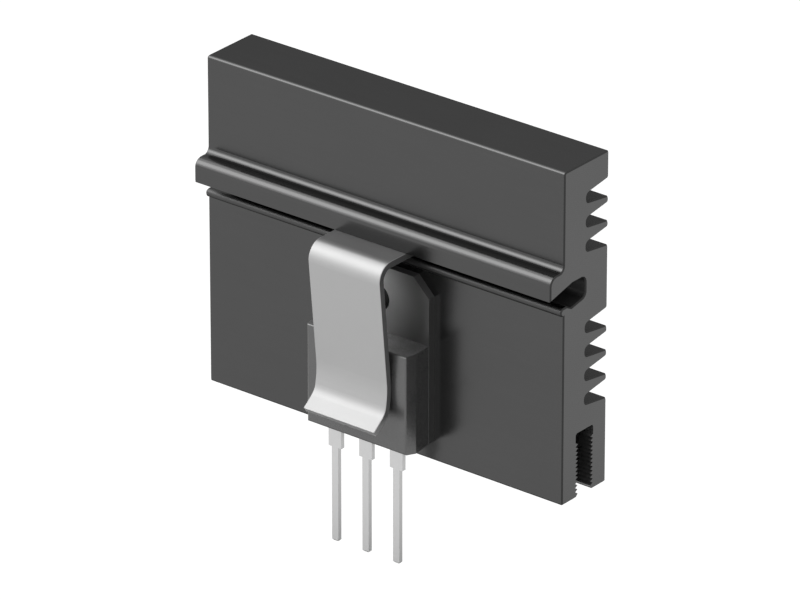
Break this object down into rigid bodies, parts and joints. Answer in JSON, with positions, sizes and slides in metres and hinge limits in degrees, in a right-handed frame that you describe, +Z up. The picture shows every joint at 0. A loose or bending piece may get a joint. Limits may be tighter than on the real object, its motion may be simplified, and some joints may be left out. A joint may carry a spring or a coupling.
{
  "type": "heat sink with clipped power transistor",
  "caption": "Extruded bar heat sink with back cooling grooves, a serrated screw channel in its foot and a spring clip that holds a flat power transistor.",
  "frame": {"origin": "middle of the screw channel's mouth in the foot of the bar, halfway along it", "axes": "+X along the extruded bar, -Y out of the component side with the transistor, +Z up from the foot; the leads and the mounting screws point along -Z"},
  "size_m": [0.05, 0.0157, 0.0524],
  "materials": {
    "black_anodised_aluminium": "black anodised, satin",
    "spring_steel": "bright satin",
    "moulding_compound": "moulded, black, satin",
    "header_copper": "dull nickel plated",
    "tinned_lead": "matt tin plated",
    "chip_silicon": "ground silicon",
    "bond_aluminium": "drawn wire"
  },
  "bodies": {
    "root": {"heat_sink_bar": "black_anodised_aluminium", "retaining_spring": "spring_steel", "transistor_case": "moulding_compound", "transistor_header": "header_copper", "transistor_lead_left": "tinned_lead", "transistor_lead_centre": "tinned_lead", "transistor_lead_right": "tinned_lead", "transistor_chip": "chip_silicon", "bond_wire_left": "bond_aluminium", "bond_wire_right": "bond_aluminium"}
  },
  "joints": []
}
